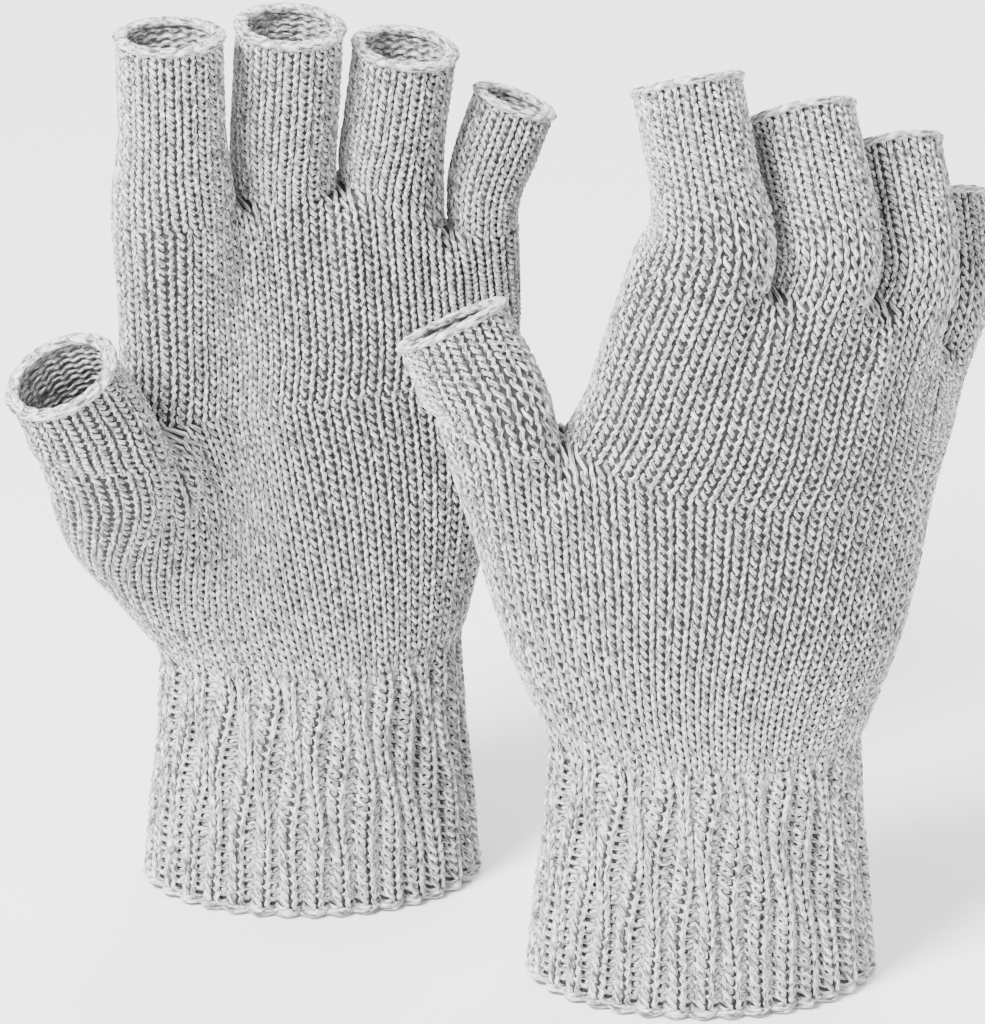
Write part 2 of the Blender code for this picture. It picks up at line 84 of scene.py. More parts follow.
FINGER_LENGTH = {"index": 0.0406, "middle": 0.0385, "ring": 0.0348, "little": 0.0305}
ROOT_LENGTH, THUMB_ROOT_LENGTH = 0.0160, 0.0130
THUMB_RADIUS, THUMB_DEPTH, THUMB_LENGTH = 0.0127, 0.0146, 0.0244
FINGER_DEPTH = 0.0128
TAPER_LENGTH = 0.0200
FINGERS = ("index", "middle", "ring", "little")
TUBES = ("thumb",) + FINGERS

# %% [markdown]
# The poses. The left-hand glove shows its palm, and the right-hand one the back of the hand. Angles are in
# degrees: how far the hand turns, leans and twists on its wrist, and how each finger splays and curls.

# %% Poses
LEFT = {
    "name": "left", "palm": -1.0, "place": (-0.0434, 0.0312), "yaw": 5.0, "lean": -1.5, "shift": 0.0032,
    "pitch": -4.0, "twist": 12.0, "little_turn": 7.0, "thumb_turn": 44.0, "thumb_out": 23.0, "thumb_in": 15.0,
    "splay": {"index": 1.5, "middle": 4.5, "ring": 8.5, "little": 22.0},
    "curl": {"index": -1.0, "middle": 3.0, "ring": 3.0, "little": -4.0},
}
RIGHT = {
    "name": "right", "palm": 1.0, "place": (0.0436, -0.0218), "yaw": 2.0, "lean": 17.5, "shift": -0.0022,
    "pitch": -7.5, "twist": 11.0, "little_turn": 36.0, "thumb_turn": 2.0, "thumb_out": 43.0, "thumb_in": 17.0,
    "splay": {"index": -26.0, "middle": -22.0, "ring": -11.5, "little": 0.5},
    "curl": {"index": 30.0, "middle": 41.0, "ring": 45.0, "little": 46.0},
}

# %% Curves and turns


def smooth(start, end, value):
    """0 before start, 1 after end, and an S-curve between them."""
    t = np.clip((value - start) / (end - start), 0.0, 1.0)
    return t * t * (3.0 - 2.0 * t)


def through(stations, column, z):
    """A smooth curve through one column of the stations, read at height z."""
    heights = np.array([row[0] for row in stations])
    values = np.array([row[column] for row in stations])
    slopes = np.gradient(values, heights)
    k = np.clip(np.searchsorted(heights, z, side="right") - 1, 0, len(heights) - 2)
    span = heights[k + 1] - heights[k]
    t = (z - heights[k]) / span
    start = (2.0 * t**3 - 3.0 * t**2 + 1.0) * values[k] + (t**3 - 2.0 * t**2 + t) * span * slopes[k]
    end = (3.0 * t**2 - 2.0 * t**3) * values[k + 1] + (t**3 - t**2) * span * slopes[k + 1]
    return start + end


def axes(sideways, forward):
    """Right, forward and up vectors of a frame leant by two angles in radians."""
    zero = np.zeros_like(sideways)
    right = np.stack([np.cos(sideways), zero, -np.sin(sideways)], -1)
    up_x = np.sin(sideways) * np.cos(forward)
    up = np.stack([up_x, np.sin(forward), np.cos(sideways) * np.cos(forward)], -1)
    return right, np.cross(up, right), up


def turned(points, angle):
    """Points turned about +Z by an angle in radians."""
    x = points[..., 0] * np.cos(angle) - points[..., 1] * np.sin(angle)
    y = points[..., 0] * np.sin(angle) + points[..., 1] * np.cos(angle)
    return np.stack([x, y, points[..., 2] + 0.0 * x], -1)


def running_sum(values, step):
    """The integral of values from the first one on."""
    return np.concatenate([[0.0], np.cumsum(values[:-1]) * step])


def drop(a, z):
    """How far the little finger's side sits lower at the finger roots."""
    return LITTLE_DROP * smooth(DROP_START, DROP_END, a) * smooth(THUMB_ROOT_Z + 0.004, FINGER_ROOT_Z, z)


def lobe(a, left, right, depth, power):
    """Half thickness of a rounded outline: depth times (1 - |t|^power)^(1/power), t from -1 to 1."""
    t = (a - (left + right) / 2.0) / ((right - left) / 2.0)
    return depth * np.clip(1.0 - np.abs(t) ** power, 0.0, None) ** (1.0 / power)


def finger_edges(finger):
    """The two sides of a finger's foot along the knuckle line."""
    edges = (UPPER_STATIONS[-1][1],) + CROTCHES + (UPPER_STATIONS[-1][2],)
    k = FINGERS.index(finger)
    return edges[k], edges[k + 1]


def tube_foot(finger):
    """Centre, half width and half depth of the foot of a tube, and its height."""
    if finger == "thumb":
        left = STATIONS[-1][1]
        return (left + WEB) / 2.0, (WEB - left) / 2.0, THUMB_DEPTH, THUMB_ROOT_Z
    left, right = finger_edges(finger)
    half = (right - left) / 2.0
    return (left + right) / 2.0, half, min(half, FINGER_DEPTH), FINGER_ROOT_Z


def tube_rim(finger):
    """Radius and length of a tube."""
    if finger == "thumb":
        return THUMB_RADIUS, THUMB_LENGTH
    return FINGER_RADIUS[finger], FINGER_LENGTH[finger]


def root_length(finger):
    """Length of the root that bends."""
    return THUMB_ROOT_LENGTH if finger == "thumb" else ROOT_LENGTH


# %% [markdown]
# The posed glove. One object answers a single question: where does a point of the flat drawing go when the
# hand bends across its palm, leans on its wrist and turns? It sums small turns across the hand and up its
# height once, into tables, and reads them afterwards. Everything knitted later rides on its answers. The
# names that end in HEIGHTS and SIDE say where each part of a pose comes in, up the hand and across it.

# %% The form of one glove
SPINE_STEPS, HEIGHT_STEPS = 181, 131
SPINE_FROM, SPINE_TO, TABLE_TOP = -0.11, 0.07, 0.26
AXIS_STEPS, AXIS_LENGTH = 61, 0.06
LEAN_HEIGHTS, SHIFT_HEIGHTS = (0.045, 0.095), (0.055, 0.150)
LITTLE_HEIGHTS, THUMB_HEIGHTS, TWIST_HEIGHTS = (0.050, 0.130), (0.050, 0.115), (0.030, 0.120)
LITTLE_SIDE, THUMB_SIDE = (-0.045, 0.045), (-0.005, -0.045)


class Form:
    """Where a point given in hand coordinates lies on one posed glove."""

    def __init__(self, pose):
        self.pose = pose
        self.palm = pose["palm"]
        self.z = np.linspace(0.0, TABLE_TOP, HEIGHT_STEPS)
        self.bent = smooth(*LEAN_HEIGHTS, self.z)
        self.lean = math.radians(pose["lean"])
        self.pitch = math.radians(pose["pitch"])
        step = self.z[1] - self.z[0]
        up = axes(self.lean * self.bent, self.pitch * self.bent)[2]
        self.centre = np.stack([running_sum(up[:, i], step) for i in range(3)], -1)
        self.centre[:, 0] += pose["shift"] * smooth(*SHIFT_HEIGHTS, self.z)
        self.a = np.linspace(SPINE_FROM, SPINE_TO, SPINE_STEPS)
        side, height = np.meshgrid(self.a, self.z, indexing="ij")
        little = pose["little_turn"] * smooth(*LITTLE_SIDE, side) * smooth(*LITTLE_HEIGHTS, height)
        thumb = pose["thumb_turn"] * smooth(*THUMB_SIDE, side) * smooth(*THUMB_HEIGHTS, height)
        twist = pose["twist"] * smooth(*TWIST_HEIGHTS, height)
        self.angle = np.radians(twist + self.palm * (little - thumb))
        middle = int(np.argmin(np.abs(self.a)))
        width = self.a[1] - self.a[0]
        across = np.cumsum(np.cos(self.angle), 0) * width
        along = np.cumsum(np.sin(self.angle), 0) * width
        self.across = across - across[middle]
        self.along = along - along[middle]

    def read(self, table, a, z):
        """A table over (a, z), read between its points."""
        i = np.clip((a - self.a[0]) / (self.a[1] - self.a[0]), 0, SPINE_STEPS - 1.001)
        j = np.clip((z - self.z[0]) / (self.z[1] - self.z[0]), 0, HEIGHT_STEPS - 1.001)
        i0 = np.asarray(i).astype(int)
        j0 = np.asarray(j).astype(int)
        di = i - i0
        dj = j - j0
        low = table[i0, j0] * (1.0 - di) + table[i0 + 1, j0] * di
        high = table[i0, j0 + 1] * (1.0 - di) + table[i0 + 1, j0 + 1] * di
        return low * (1.0 - dj) + high * dj

    def bend(self, a, h, z):
        """From hand coordinates to the bent section, before the hand leans."""
        angle = self.read(self.angle, a, z)
        x = self.read(self.across, a, z) - h * np.sin(angle)
        y = self.read(self.along, a, z) + h * np.cos(angle)
        return np.stack([x, y, z + 0.0 * x], -1)

    def stand(self, points):
        """From the bent section to the glove where it stands."""
        z = points[..., 2]
        bent = np.interp(z, self.z, self.bent)
        right, forward, _ = axes(self.lean * bent, self.pitch * bent)
        centre = np.stack([np.interp(z, self.z, self.centre[:, i]) for i in range(3)], -1)
        out = centre + right * points[..., 0:1] + forward * points[..., 1:2]
        out = turned(out, math.radians(self.pose["yaw"]))
        return out + np.array([self.pose["place"][0], self.pose["place"][1], 0.0])

    def at(self, a, h, z):
        """The place of a point given in hand coordinates."""
        a, h, z = np.broadcast_arrays(np.asarray(a, float), h, z)
        return self.stand(self.bend(a, h, z))

    def tube(self, finger, along, phi, inset=0.0):
        """Points round a tube, at a distance along it from its foot, inset into its wall."""
        along, phi = np.broadcast_arrays(np.asarray(along, float), phi)
        foot, half_width, half_depth, z0 = tube_foot(finger)
        radius = tube_rim(finger)[0]
        taper = smooth(0.0, TAPER_LENGTH, along)
        wide = half_width - SIDE_GAP / 2.0 + (radius - half_width) * taper - inset
        deep = half_depth + (radius - half_depth) * taper - inset
        turn = smooth(0.0, root_length(finger), along)
        sideways, forward = self.tube_lean(finger)
        right, ahead, _ = axes(sideways * turn, forward * turn)
        facing = self.read(self.angle, foot, z0)
        plane = self.plane(finger)
        flat = np.stack([wide * np.cos(phi), deep * np.sin(phi), 0.0 * wide * phi], -1)
        level = turned(flat, facing - plane)
        ring = right * level[..., 0:1] + ahead * level[..., 1:2]
        base = self.bend(np.array(foot), np.array(0.0), np.array(z0 - drop(foot, z0)))
        straight = base + turned(self.tube_axis(finger, along) + ring, plane)
        a = foot + wide * np.cos(phi)
        root = self.bend(a, deep * np.sin(phi), z0 - drop(a, z0))
        return self.stand(straight + (root - base - turned(flat, facing)) * (1.0 - turn)[..., None])

    def plane(self, finger):
        """The way a tube's root bends in plan: along the hand on the thumb, across it on a finger."""
        if finger == "thumb":
            return 0.0
        foot, _, _, z0 = tube_foot(finger)
        return CURL_FOLLOW * float(self.read(self.angle, foot, z0))

    def tube_lean(self, finger):
        """How far a tube leans sideways and forward, in radians."""
        if finger == "thumb":
            return -math.radians(self.pose["thumb_out"]), self.palm * math.radians(self.pose["thumb_in"])
        sideways = math.radians(self.pose["splay"][finger])
        return sideways, self.palm * math.radians(self.pose["curl"][finger])

    def tube_axis(self, finger, along):
        """The middle of a tube, from its foot: straight on the thumb, bending over a finger's root."""
        sideways, forward = self.tube_lean(finger)
        if finger == "thumb":
            up = axes(np.array(sideways), np.array(forward))[2]
            return np.asarray(along)[..., None] * up
        steps = np.linspace(0.0, AXIS_LENGTH, AXIS_STEPS)
        turn = smooth(0.0, ROOT_LENGTH, steps)
        up = axes(sideways * turn, forward * turn)[2]
        path = np.stack([running_sum(up[:, i], steps[1]) for i in range(3)], -1)
        return np.stack([np.interp(along, steps, path[:, i]) for i in range(3)], -1)


forms = {pose["name"]: Form(pose) for pose in (LEFT, RIGHT)}
rim_middle = forms["left"].tube("middle", FINGER_LENGTH["middle"], np.array([0.0, math.pi])).mean(0)
print("middle finger's rim, left", rim_middle)

# %% [markdown]
# The lie of the stitches. Knitting has two directions: wales run up the glove, and courses run round it. A
# zone of fabric is a table of points over wales and courses, halfway through the fabric's thickness, with
# the outward direction beside each. Wales are counted from the little finger's edge, by length round the
# outline, so that the columns carry on from one zone into the next. Where the fingers and the thumb part,
# the outline turns into lobes side by side, but the columns keep the places they had before it did.

# %% Zones as tables
RING_STEPS = 1440
PER_WALE = 4
PER_COURSE = 2
CROTCH_HALF_WIDTH = 0.0060


class Zone:
    """A grid of points and outward directions over courses (rows) and wales (columns, closed round)."""

    def __init__(self, rows, wales, courses):
        self.wales = wales
        self.courses = courses
        first = 2.0 * rows[:1] - rows[PER_COURSE:PER_COURSE + 1]
        last = 2.0 * rows[-1:] - rows[-PER_COURSE - 1:-PER_COURSE]
        half_first = (first + rows[:1]) / 2.0
        half_last = (last + rows[-1:]) / 2.0
        self.points = np.concatenate([first, half_first, rows, half_last, last], 0)
        up = np.gradient(self.points, axis=0)
        side = np.roll(self.points, -1, 1) - np.roll(self.points, 1, 1)
        normal = np.cross(side, up)
        self.normals = normal / np.linalg.norm(normal, axis=-1, keepdims=True)

    def read(self, table, wale, course):
        """A table read between its points, closed round the wales."""
        i = np.clip((course + 1.0) * PER_COURSE, 0.0, len(table) - 1.001)
        j = np.mod(wale, self.wales) * PER_WALE
        i0 = np.floor(i).astype(int)
        j0 = np.floor(j).astype(int)
        di = (i - i0)[..., None]
        dj = (j - j0)[..., None]
        j0 = j0 % table.shape[1]
        j1 = (j0 + 1) % table.shape[1]
        low = table[i0, j0] * (1.0 - dj) + table[i0, j1] * dj
        high = table[i0 + 1, j0] * (1.0 - dj) + table[i0 + 1, j1] * dj
        return low * (1.0 - di) + high * di

    def at(self, wale, course, off=0.0):
        """Points on the fabric, moved along its outward direction."""
        off = np.asarray(off)[..., None]
        return self.read(self.points, wale, course) + self.read(self.normals, wale, course) * off


def outline(stations, z, inset, wales, crotch=None):
    """Points (a, h) round a section, evenly spaced by its unpinched length from the little finger's edge."""
    theta = np.linspace(0.0, 2.0 * math.pi, RING_STEPS + 1)
    left = through(stations, 1, z) + inset
    right = through(stations, 2, z) - inset
    a = (left + right) / 2.0 + (right - left) / 2.0 * np.cos(theta)
    h = lobe(a, left, right, through(stations, 3, z) - inset, through(stations, 4, z))
    length = np.concatenate([[0.0], np.cumsum(np.hypot(np.diff(a), np.diff(h * np.sign(np.sin(theta)))))])
    if crotch:
        edges = [left, *crotch["lines"], right]
        parts = []
        for k, (depth, power) in enumerate(crotch["lobes"]):
            low = edges[k] + (inset if k > 0 else 0.0)
            high = edges[k + 1] - (inset if k < len(edges) - 2 else 0.0)
            parts.append(lobe(a, low, high, depth - inset, power))
        share = crotch["share"](a, z)
        h = h * (1.0 - share) + np.max(parts, 0) * share
    h = h * np.sign(np.sin(theta))
    u = np.arange(wales * PER_WALE) / (wales * PER_WALE) * length[-1]
    return np.interp(u, length, a), np.interp(u, length, h)


def wales_at(stations, z, inset, wales, a):
    """The wale numbers that pass a point across the hand: on the back, and on the other side."""
    places = outline(stations, z, inset, wales)[0]
    half = wales * PER_WALE // 2
    back = np.interp(a, places[half::-1], np.arange(half, -1, -1)) / PER_WALE
    return back, wales - back


def crotches_of(lobes, lines, top, depth, fade):
    """How the section turns into lobes: sharply beside each crotch line, and gently between them."""
    def share(a, z):
        near = np.max([np.exp(-((a - line) / CROTCH_HALF_WIDTH) ** 2) for line in lines], 0)
        t = np.clip(1.0 - (top - z) / depth, 0.0, 1.0)
        return near * (1.0 - math.sqrt(1.0 - t * t)) + (1.0 - near) * smooth(top - fade, top, z)
    return {"lobes": lobes, "lines": lines, "share": share}


def zone_of_sections(form, stations, low, high, wales, inset, height, crotch=None, dropped=False):
    """A zone between two heights, one outline to a row."""
    courses = int(round((high - low) / height))
    rows = []
    for z in np.linspace(low, high, courses * PER_COURSE + 1):
        a, h = outline(stations, z, inset, wales, crotch)
        rows.append(form.at(a, h, z - drop(a, z) if dropped else z + 0.0 * a))
    return Zone(np.stack(rows), wales, courses)


def zone_of_tube(form, finger, low, high, wales, height, meets):
    """A zone on a finger or the thumb, between two distances along it. Its middle wales meet the palm's."""
    courses = max(1, int(round((high - low) / height)))
    along = np.linspace(low, high, courses * PER_COURSE + 1)[:, None]
    phi = np.arange(wales * PER_WALE)[None, :] * (2.0 * math.pi / (wales * PER_WALE))
    ease = (1.0 - smooth(0.0, root_length(finger), along)) * (2.0 * math.pi / wales)
    middles = (wales / 4.0, 0.75 * wales)
    back, front = [(meet - middle + 0.5) % 1.0 - 0.5 for meet, middle in zip(meets, middles)]
    phi = phi - ease * np.sin(phi)**2 * np.where(np.sin(phi) > 0.0, back, front)
    return Zone(form.tube(finger, along, phi, WALL / 2.0), wales, courses)


# %% [markdown]
# The rib. Every second column of the cuff is turned to its back. That draws the fabric together: the face
# columns stand out and crowd over the others. Where the cuff narrows under the hand, soft folds sway the
# columns. All of it fades out over the rib's last courses, where the plain stitches begin.

# %% The shape of the rib
RIB_LIFT = 0.00100
RIB_RISE = 0.86
RIB_CROWD = 0.20
RIB_FULLNESS = 1.24
RIB_FADE = 5.0
FOLDS, FOLD_DEPTH, FOLD_SWAY = 13, 0.00060, 0.36
FOLD_START, FOLD_FULL, FOLD_SLANT = 1.0, 14.0, 0.32


def rib_strength(zone, course):
    """1 in the rib, fading to 0 over its last courses."""
    return 1.0 - smooth(zone.courses - RIB_FADE, zone.courses, course)


def rib_shape(zone, wale, course):
    """Outward lift in metres and sideways shift in wales, at a place on the rib."""
    rib = rib_strength(zone, course)
    turn = 2.0 * math.pi * wale / zone.wales
    phase = FOLDS * turn + 1.4 * np.sin(3.0 * turn)
    fold = rib * smooth(FOLD_START, FOLD_FULL, course)
    lift = RIB_LIFT * rib * np.sin(math.pi * wale) - FOLD_DEPTH * fold * (0.5 + 0.5 * np.sin(phase))
    crowd = RIB_CROWD * rib * (1.0 - np.cos(math.pi * wale))
    return lift, crowd + FOLD_SWAY * fold * np.sin(phase + FOLD_SLANT * course)


# %% [markdown]
# One stitch. Seen from outside, a plain stitch is a V: its two legs come forward out of the loop below and
# go back under the loop above. As one turn of a path, the sideways swing is a sine at twice the stitch's
# pace, the rise is a cosine, and the depth is a cosine at twice the pace. The yarn's own twist skews every V
# the same way, so the left leg leans and the right leg stands almost upright. A little chance in every
# stitch keeps the fabric from looking printed.

# %% The yarn's path
SAMPLES = 10
SWING = 0.215
RISE = 0.70
SKEW = 0.150
THICKNESS = 0.00058
SWING_CHANCE, RISE_CHANCE, SIDE_CHANCE, DEPTH_CHANCE = 0.10, 0.05, 0.030, 0.00010


def yarn_path(zone, seed, ribbed=False):
    """Yarn centres and outward directions: one closed ring of stitches to each course."""
    random = np.random.default_rng(seed)
    t = np.arange(zone.wales * SAMPLES) / SAMPLES
    course = np.arange(zone.courses)[:, None] + 0.5
    wobble = random.normal(size=(4, zone.courses, zone.wales))
    wobble = np.repeat(wobble, SAMPLES, axis=2)
    ease = 0.5 - 0.5 * np.cos(2.0 * math.pi * t)
    swing = SWING * (1.0 + SWING_CHANCE * wobble[0] * ease)
    rib = rib_strength(zone, course) if ribbed else 0.0
    height = RISE + (RIB_RISE - RISE) * rib
    rise = -height * np.cos(2.0 * math.pi * t) * (1.0 + RISE_CHANCE * wobble[1] * ease)
    wale = t + swing * np.sin(4.0 * math.pi * t) - SKEW * rise + SIDE_CHANCE * wobble[2] * ease
    depth = -THICKNESS * np.cos(4.0 * math.pi * t) + DEPTH_CHANCE * wobble[3] * ease
    if ribbed:
        side = 1.0 + (np.clip(1.7 * np.sin(math.pi * t), -1.0, 1.0) - 1.0) * rib
        lift, shift = rib_shape(zone, wale, course)
        depth = depth * side + lift
        wale = wale + shift
    return zone.at(wale, course + rise, depth), zone.read(zone.normals, wale, course + rise)


# %% [markdown]
# Yarn as a mesh. Each ring of stitches becomes one closed tube: five points round the yarn at every step
# along it. The frame needs no twist correction, because the fabric's outward direction is known all along.
# Two UV maps go with it: one in metres along and round the yarn, which the heather and the fibres follow,
# and one that lays the rings out as strips.

# %% Tubes of yarn
YARN_SIDES = 5
YARN_RADIUS = 0.00052
STITCH_YARN = 0.0090
ROW_STEP = 1.37


def yarn_mesh(name, points, outward, radius, step_length=STITCH_YARN / SAMPLES):
    """A mesh of closed tubes: rows of centres (rings, steps, 3), each ring closed on itself."""
    rings, steps = points.shape[:2]
    along = np.roll(points, -1, 1) - np.roll(points, 1, 1)
    along /= np.linalg.norm(along, axis=-1, keepdims=True)
    across = np.cross(along, outward)
    across /= np.linalg.norm(across, axis=-1, keepdims=True)
    over = np.cross(across, along)
    turn = np.arange(YARN_SIDES) * (2.0 * math.pi / YARN_SIDES)
    radius = np.broadcast_to(radius, (rings, steps))[..., None, None]
    ring = over[:, :, None] * np.cos(turn)[:, None] + across[:, :, None] * np.sin(turn)[:, None]
    vertices = (points[:, :, None] + ring * radius).reshape(-1, 3)
    r, s, k = np.meshgrid(np.arange(rings), np.arange(steps), np.arange(YARN_SIDES), indexing="ij")
    r, s, k = r[..., None], s[..., None] + np.array([0, 1, 1, 0]), k[..., None] + np.array([0, 0, 1, 1])
    faces = ((r * steps + s % steps) * YARN_SIDES + k % YARN_SIDES).reshape(-1, 4)
    u = s.reshape(-1)
    v = k.reshape(-1) / YARN_SIDES
    row = np.broadcast_to(r, s.shape).reshape(-1)
    lay = {
        "Yarn": np.stack([u * step_length, (row * ROW_STEP + v) * 2.0 * math.pi * YARN_RADIUS], -1),
        "OFBake": np.stack([0.002 + 0.996 * u / steps, (row + 0.06 + 0.88 * v) / rings], -1),
    }
    return make_mesh(name, vertices, faces, lay)


def make_mesh(name, vertices, faces, maps):
    """A mesh object from arrays of vertices, quads and UV maps."""
    mesh = bpy.data.meshes.new(name)
    mesh.vertices.add(len(vertices))
    mesh.vertices.foreach_set("co", vertices.astype(np.float32).ravel())
    mesh.loops.add(faces.size)
    mesh.loops.foreach_set("vertex_index", faces.astype(np.int32).ravel())
    mesh.polygons.add(len(faces))
    mesh.polygons.foreach_set("loop_start", np.arange(0, faces.size, 4, dtype=np.int32))
    mesh.polygons.foreach_set("use_smooth", np.ones(len(faces), dtype=bool))
    for title, places in maps.items():
        layer = mesh.uv_layers.new(name=title)
        layer.data.foreach_set("uv", places.astype(np.float32).ravel())
    mesh.update(calc_edges=True)
    ob = bpy.data.objects.new(name, mesh)
    bpy.context.collection.objects.link(ob)
    return ob


# %% [markdown]
# What lies behind the loops. Heather yarn is hairy, and the hairs fill the fabric's middle, so looking
# between two legs one meets shadow and fluff, not the far side of the glove. A thin closed sheet inside each
# zone stands for that fluff, and its colour is painted shade: nearly black on its outer face, where the
# shadow between the loops is seen, and a lighter grey on its inner face.

# %% The fluff inside the fabric, and its painted shade
FLUFF_OUT, FLUFF_IN = 0.00008, -0.00022


def fluff(name, zone, ribbed=False):
    """A thin closed shell along the middle of a zone: rows up its outside, and down its inside."""
    wale = np.arange(zone.wales * 2) / 2.0
    course = np.linspace(0.02, zone.courses - 0.02, zone.courses + 1)[:, None]
    lift, shift = rib_shape(zone, wale, course) if ribbed else (0.0 * wale, 0.0 * wale)
    place, course, lift = np.broadcast_arrays(wale + shift, course, lift)
    outer = zone.at(place, course, lift + FLUFF_OUT)
    inner = zone.at(place, course, lift + FLUFF_IN)
    loop = np.concatenate([outer, inner[::-1]], 0)
    rows, columns = loop.shape[:2]
    r, c = np.meshgrid(np.arange(rows), np.arange(columns), indexing="ij")
    r, c = r[..., None] + np.array([0, 0, 1, 1]), c[..., None] + np.array([0, 1, 1, 0])
    faces = (r % rows * columns + c % columns).reshape(-1, 4)
    places = np.stack([c.reshape(-1) / columns, r.reshape(-1) / rows], -1)
    return make_mesh(name, loop.reshape(-1, 3), faces, {"OFBake": places})


# %% [markdown]
# Edges. A cast-off edge is a chain: each link is a teardrop of yarn, its point held in the round end of the
# link behind it. The same chain, lying under the rib, makes the cast-on edge at the cuff.

# %% Chains of yarn
LINK_SAMPLES = 16
LINK_LENGTH = 0.80
LINK_RADIUS = 0.00086


def chain(name, zone, course, links, half_width, lift, sink, ribbed=False):
    """Teardrop links along a course: long by LINK_LENGTH of their pitch, and half_width to either side."""
    phi = np.arange(LINK_SAMPLES) * (2.0 * math.pi / LINK_SAMPLES)
    pitch = zone.wales / links
    wale = (np.arange(links)[:, None] + LINK_LENGTH * np.cos(phi)) * pitch
    across = half_width * np.sin(phi) * (0.72 + 0.28 * np.cos(phi))
    down = sink * (0.5 - 0.5 * np.cos(phi))
    course = np.full_like(wale, course)
    off = lift + across + (RIB_LIFT * np.sin(math.pi * wale) if ribbed else 0.0 * wale)
    place = zone.read(zone.points, wale, course)
    normal = zone.read(zone.normals, wale, course)
    step = zone.read(zone.points, wale, course + 0.5) - zone.read(zone.points, wale, course - 0.5)
    up = step / np.linalg.norm(step, axis=-1, keepdims=True)
    points = place + normal * off[..., None] - up * down[..., None]
    return yarn_mesh(name, points, up + 0.15 * normal, LINK_RADIUS, STITCH_YARN / LINK_SAMPLES)


# %% [markdown]
# Shader maths reads best as plain expressions. A small class wraps a socket, so that adding two of them
# adds a Math node, and one method makes every other kind of node.

# %% Expressions for shaders


class Value:
    """A socket whose value can be added to and multiplied."""

    def __init__(self, shader, socket):
        self.shader, self.socket = shader, socket

    def math(self, operation, other=None):
        """A Math node on this value, and on another one where the operation takes two."""
        inputs = [self] if other is None else [self, other]
        return self.shader.node("ShaderNodeMath", {"operation": operation}, inputs)

    def __add__(self, other):
        return self.math("ADD", other)

    def __mul__(self, other):
        return self.math("MULTIPLY", other)


class Shader:
    """A material under construction."""

    def __init__(self, name, roughness, sheen):
        self.material = bpy.data.materials.new(name)
        self.material.use_nodes = True
        self.tree = self.material.node_tree
        self.surface = self.tree.nodes["Principled BSDF"]
        self.surface.inputs["Roughness"].default_value = roughness
        self.surface.inputs["Sheen Weight"].default_value = sheen
        self.surface.inputs["Sheen Roughness"].default_value = 0.5
        self.surface.inputs["Specular IOR Level"].default_value = 0.25

    def node(self, kind, settings=None, inputs=(), output=0):
        """One output of a new node of any type: its settings first, then its inputs by order or by name."""
        made = self.tree.nodes.new(kind)
        for key, value in (settings or {}).items():
            if key == "stops":
                for k, (place, colour) in enumerate(value):
                    stop = made.color_ramp.elements[k] if k < 2 else made.color_ramp.elements.new(place)
                    stop.position, stop.color = place, (*colour, 1.0)
            else:
                setattr(made, key, value)
        pairs = inputs.items() if isinstance(inputs, dict) else enumerate(inputs)
        for key, value in pairs:
            if isinstance(value, Value):
                self.tree.links.new(value.socket, made.inputs[key])
            else:
                made.inputs[key].default_value = value
        return Value(self, made.outputs[output])

    def feed(self, socket, value):
        """Links a value to one of the surface's own sockets."""
        self.tree.links.new(value.socket, self.surface.inputs[socket])


# %% [markdown]
# Heather yarn is spun from fibres dyed in different greys before they are mixed, so its colour changes in
# short streaks along the yarn, and no two stitches match. The noise is stretched along the yarn for that.
# The fibres themselves show as a fine grain in the surface, with the slow spiral of two plies under it.

# %% The heather yarn
DARK, MIDDLE = (0.07, 0.07, 0.072), (0.27, 0.27, 0.275)
LIGHT, PALE = (0.52, 0.52, 0.525), (0.76, 0.76, 0.765)
STREAK_PACE, FIBRE_PACE = (520.0, 1500.0, 1.0), (900.0, 6500.0, 1.0)
PLY_LENGTH = 0.0038


def along_yarn(shader, place, pace, detail, roughness):
    """Noise on the yarn's own map; pace is its features to a metre, along the yarn and round it."""
    stretched = shader.node("ShaderNodeVectorMath", {"operation": "MULTIPLY"}, [place, pace])
    inputs = {"Vector": stretched, "Scale": 1.0, "Detail": detail, "Roughness": roughness}
    return shader.node("ShaderNodeTexNoise", {"noise_dimensions": "2D"}, inputs)


def heather(name):
    """Yarn in mixed greys, from dark hairs to pale ones."""
    shader = Shader(name, 0.92, 0.25)
    place = shader.node("ShaderNodeUVMap", {"uv_map": "Yarn"})
    streaks = along_yarn(shader, place, STREAK_PACE, 3.0, 0.65)
    stops = [(0.37, DARK), (0.46, MIDDLE), (0.55, LIGHT), (0.66, PALE)]
    shader.feed("Base Color", shader.node("ShaderNodeValToRGB", {"stops": stops}, [streaks]))
    fibres = along_yarn(shader, place, FIBRE_PACE, 2.0, 0.6)
    along = shader.node("ShaderNodeSeparateXYZ", {}, [place])
    across = shader.node("ShaderNodeSeparateXYZ", {}, [place], 1)
    ply = (along * (2.0 * math.pi / PLY_LENGTH) + across * (2.0 / YARN_RADIUS)).math("SINE")
    height = fibres * 0.7 + ply * 0.3
    bump = shader.node("ShaderNodeBump", {}, {"Strength": 0.6, "Distance": 0.00018, "Height": height})
    shader.feed("Normal", bump)
    return shader.material


